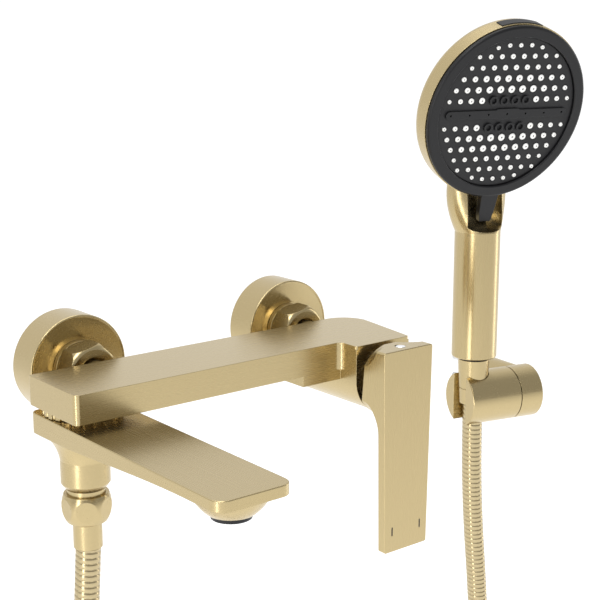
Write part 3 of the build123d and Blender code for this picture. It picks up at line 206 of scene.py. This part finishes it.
def grained(name, color, metallic, roughness, scale, spread, bump, distance=0.00005, specular=0.5):
    """A surface whose fine grain varies its roughness and its height, with slightly rounded edges."""
    made, tree, shader = material(name, color, metallic, roughness)
    shader.inputs["Specular IOR Level"].default_value = specular
    place = tree.nodes.new("ShaderNodeTexCoord")
    stretch = tree.nodes.new("ShaderNodeMapping")
    stretch.inputs["Scale"].default_value = scale
    noise = tree.nodes.new("ShaderNodeTexNoise")
    noise.inputs["Scale"].default_value = 1.0
    noise.inputs["Detail"].default_value = GRAIN_DETAIL
    reach = tree.nodes.new("ShaderNodeMapRange")
    reach.inputs["To Min"].default_value = roughness - spread
    reach.inputs["To Max"].default_value = roughness + spread
    rise = tree.nodes.new("ShaderNodeBump")
    rise.inputs["Strength"].default_value = bump
    rise.inputs["Distance"].default_value = distance
    rounding = tree.nodes.new("ShaderNodeBevel")
    rounding.samples = EDGE_SAMPLES
    rounding.inputs["Radius"].default_value = EDGE_RADIUS
    tree.links.new(place.outputs["Object"], stretch.inputs["Vector"])
    tree.links.new(stretch.outputs["Vector"], noise.inputs["Vector"])
    tree.links.new(noise.outputs["Fac"], reach.inputs["Value"])
    tree.links.new(reach.outputs["Result"], shader.inputs["Roughness"])
    tree.links.new(noise.outputs["Fac"], rise.inputs["Height"])
    tree.links.new(rounding.outputs["Normal"], rise.inputs["Normal"])
    tree.links.new(rise.outputs["Normal"], shader.inputs["Normal"])
    return made


GOLD = (0.48, 0.385, 0.208)
ALONG_GRAIN = 12.0
ACROSS_GRAIN = 2600.0


def gold(name, along):
    """Brushed gold with its grain along one axis: 0, 1 or 2."""
    scale = [ACROSS_GRAIN] * 3
    scale[along] = ALONG_GRAIN
    return grained(name, GOLD, 1.0, 0.27, scale, 0.05, 0.12)


gold_x = gold("gold_grain_x", 0)
gold_y = gold("gold_grain_y", 1)
gold_z = gold("gold_grain_z", 2)
gold_round = grained("gold_satin", GOLD, 1.0, 0.26, (900, 900, 900), 0.04, 0.06)
hose_gold = grained("hose_gold", (0.47, 0.385, 0.225), 1.0, 0.24, (1200, 1200, 1200), 0.04, 0.05)
raw_brass = grained("raw_brass", (0.70, 0.55, 0.28), 1.0, 0.32, (1500, 1500, 1500), 0.05, 0.1)
BLACK = (0.006, 0.006, 0.007)
black = grained("black_plastic", BLACK, 0.0, 0.36, (2500, 2500, 2500), 0.06, 0.1, specular=0.32)
dark_face = grained("face_grain", (0.013, 0.013, 0.014), 0.0, 0.5, (2200, 2200, 2200), 0.1, 0.5, 0.0001, 0.3)
white_rubber = grained("white_silicone", (0.85, 0.85, 0.83), 0.0, 0.5, (1500, 1500, 1500), 0.05, 0.1)
rubber = grained("black_rubber", (0.02, 0.02, 0.02), 0.0, 0.65, (1800, 1800, 1800), 0.08, 0.2)
steel = grained("steel", (0.6, 0.6, 0.6), 1.0, 0.3, (1500, 1500, 1500), 0.05, 0.1)
silver = grained("silver_cap", (0.86, 0.86, 0.87), 1.0, 0.14, (1500, 1500, 1500), 0.03, 0.03)
ceramic = grained("ceramic", (0.86, 0.85, 0.82), 0.0, 0.2, (1500, 1500, 1500), 0.04, 0.05)
inner_plastic = grained("inner_plastic", (0.72, 0.72, 0.70), 0.0, 0.42, (1500, 1500, 1500), 0.05, 0.1)

OF_SLOT = {
    "gold": gold_round, "hose_metal": hose_gold, "plain_brass": raw_brass, "black_plastic": black,
    "dark_face": dark_face, "white_silicone": white_rubber, "rubber": rubber, "steel": steel,
    "silver": silver, "ceramic": ceramic, "inner_plastic": inner_plastic,
}
OF_NODE = {
    "mixer_body": gold_x, "spout_arm": gold_y, "lever_handle": gold_z, "handset_shell": gold_z,
    "inlet_tail_left": gold_round, "inlet_tail_right": gold_round,
}


def finish_with(piece, made):
    """Gives a piece one material in place of its own."""
    piece.data.materials.clear()
    piece.data.materials.append(made)


for entry in frame["record"]["subparts"]:
    finish_with(nodes[entry["node"]], OF_NODE.get(entry["node"], OF_SLOT[entry["material_slot"]]))
finish_with(hose, hose_gold)

# ---------------------------------------------------------------- spray face
GROUP_TURN = radians(-13.5)
HEAD_TILT = radians(17.5)
along = Vector((cos(GROUP_TURN), sin(GROUP_TURN), 0))
ahead = Vector((sin(GROUP_TURN), -cos(GROUP_TURN), 0))
face_out = ahead * cos(HEAD_TILT) - Vector((0, 0, 1)) * sin(HEAD_TILT)
face_up = face_out.cross(along)
HAND_PLACE = (0.220, -0.045)  # the hand shower's axis in its holder
HEAD_Z = 0.1305
HEAD_REACH = 0.0314
FACE_CENTRE = Vector((*HAND_PLACE, HEAD_Z)) + ahead * HEAD_REACH
PLATE_BACK = 0.002
ROW_PITCH = 7.3
NOZZLE_PITCH = 8.3
FIRST_ROW = 9.2
NEAR_BAR = 20.7  # the first row leaves room for the black nozzles in its middle
NEAR_BAR_PITCH = 8.1
LAST_ROW = 5
LAST_ROW_SIDE = 16.0  # the last row's outer nozzles stand a little nearer the bar
LAST_ROW_DROP = 1.5
SHRINK = 0.42  # how much smaller a nozzle is at the row's far reach
REACH = 46.0
NOZZLE_HIGH = 1.1
HOLE_SHAPE = [(1.0, 0.8), (1.0, 1.0), (0.0, 1.0)]
HALO_SHAPE = [(1.0, 0.0), (0.98, 1.0), (0.0, 1.0)]
ROWS = [(8, 2.3), (11, 2.45), (10, 2.3), (9, 1.8), (8, 1.7), (5, 1.45)]  # nozzles in a row, radius
NOZZLE_SHAPE = [(1.0, 0.0), (0.98, 0.45), (0.86, 0.8), (0.6, 1.0), (0.34, 1.0), (0.26, 0.6), (0.0, 0.5)]


def on_face(x, y, out):
    """A place on the face, from its centre: across, up and out, in millimetres."""
    return FACE_CENTRE + (along * x + face_up * y + face_out * out) * MM - face_out * PLATE_BACK


def lathe(bm, x, y, radius, height, shape, sides=16):
    """A small turned form standing on the face: (share of the radius, share of the height)."""
    rings = []
    for wide, high in shape:
        ring = []
        for k in range(sides if wide else 1):
            turn = 2 * pi * k / sides
            place = on_face(x + radius * wide * cos(turn), y + radius * wide * sin(turn), height * high)
            ring.append(bm.verts.new(place))
        rings.append(ring)
    for low, high in zip(rings, rings[1:]):
        for k in range(sides):
            n = (k + 1) % sides
            if len(high) == 1:
                bm.faces.new((low[k], low[n], high[0]))
            else:
                bm.faces.new((low[k], low[n], high[n], high[k]))


nozzles = bmesh.new()
dots = bmesh.new()
for row, (count, radius) in enumerate(ROWS):
    for k in range(count):
        x = (k - (count - 1) / 2) * NOZZLE_PITCH
        if row == 0:
            x = (NEAR_BAR + (k // 2) * NEAR_BAR_PITCH) * (1 if k % 2 else -1)
        drop = LAST_ROW_DROP if row == LAST_ROW and abs(x) > LAST_ROW_SIDE else 0.0
        size = radius * (1.0 - SHRINK * (x / REACH) ** 2)
        for side in (1, -1):
            y = side * (FIRST_ROW + row * ROW_PITCH - drop)
            lathe(nozzles, x, y, size, NOZZLE_HIGH, NOZZLE_SHAPE)
            # a black dot in each nozzle's dimple is painted shade for its open hole, which is not cut
            lathe(dots, x, y, size * 0.25, 0.68, HOLE_SHAPE, sides=8)
            lathe(dots, x, y, size * 1.3, 0.12, HALO_SHAPE)
spray_nozzles = new_object("spray_nozzles", nozzles)
finish_with(spray_nozzles, white_rubber)
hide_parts("white_nozzles")
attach(spray_nozzles, "handset")
# spray_holes holds the black dots of painted hole shade and the thin black rings round the nozzles
spray_holes = new_object("spray_holes", dots)
finish_with(spray_holes, black)
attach(spray_holes, "handset")

# ---------------------------------------------------------------- floor, light and finish
FLOOR_SIZE = 60.0
FLOOR_GAP = 0.002
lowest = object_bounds()[0][2]
bpy.ops.mesh.primitive_plane_add(size=FLOOR_SIZE, location=(0, 0, lowest - FLOOR_GAP))
ground = bpy.context.object
ground.name = "floor"
pale, _, pale_shader = material("pale_floor", (0.86, 0.86, 0.86), 0.0, 0.7)
pale_shader.inputs["Emission Color"].default_value = (1.0, 1.0, 1.0, 1.0)
pale_shader.inputs["Emission Strength"].default_value = 0.4
finish_with(ground, pale)

world = bpy.data.worlds.new("studio")
world.use_nodes = True
sky = world.node_tree
background = sky.nodes["Background"]
background.inputs["Color"].default_value = (1.0, 1.0, 1.0, 1.0)
facing = sky.nodes.new("ShaderNodeTexCoord")
parts = sky.nodes.new("ShaderNodeSeparateXYZ")
bright = sky.nodes.new("ShaderNodeMapRange")  # white behind the object, dimmer in front of it
bright.inputs["From Min"].default_value = -0.3
bright.inputs["From Max"].default_value = 0.4
bright.inputs["To Min"].default_value = 0.5
bright.inputs["To Max"].default_value = 1.05
sky.links.new(facing.outputs["Generated"], parts.inputs["Vector"])
sky.links.new(parts.outputs["Y"], bright.inputs["Value"])
sky.links.new(bright.outputs["Result"], background.inputs["Strength"])
bpy.context.scene.world = world


def softbox(name, place, aim, size, power):
    """A rectangular lamp that faces a place."""
    lamp = bpy.data.lights.new(name, "AREA")
    lamp.shape = "RECTANGLE"
    lamp.size = size[0]
    lamp.size_y = size[1]
    lamp.energy = power
    box = bpy.data.objects.new(name, lamp)
    box.location = place
    box.rotation_euler = (Vector(aim) - Vector(place)).to_track_quat("-Z", "Y").to_euler()
    bpy.context.collection.objects.link(box)


middle = (0.08, -0.05, 0.0)
softbox("key", (-0.9, -1.1, 1.6), middle, (1.0, 1.0), 17)
softbox("strip_left", (-1.6, -0.7, 0.1), middle, (0.3, 1.6), 10)
softbox("strip_right", (1.8, -0.6, 0.2), middle, (0.3, 1.6), 5)
softbox("top", (0.1, 0.3, 1.8), middle, (1.6, 0.8), 12)
bpy.context.scene.view_settings.view_transform = "Standard"
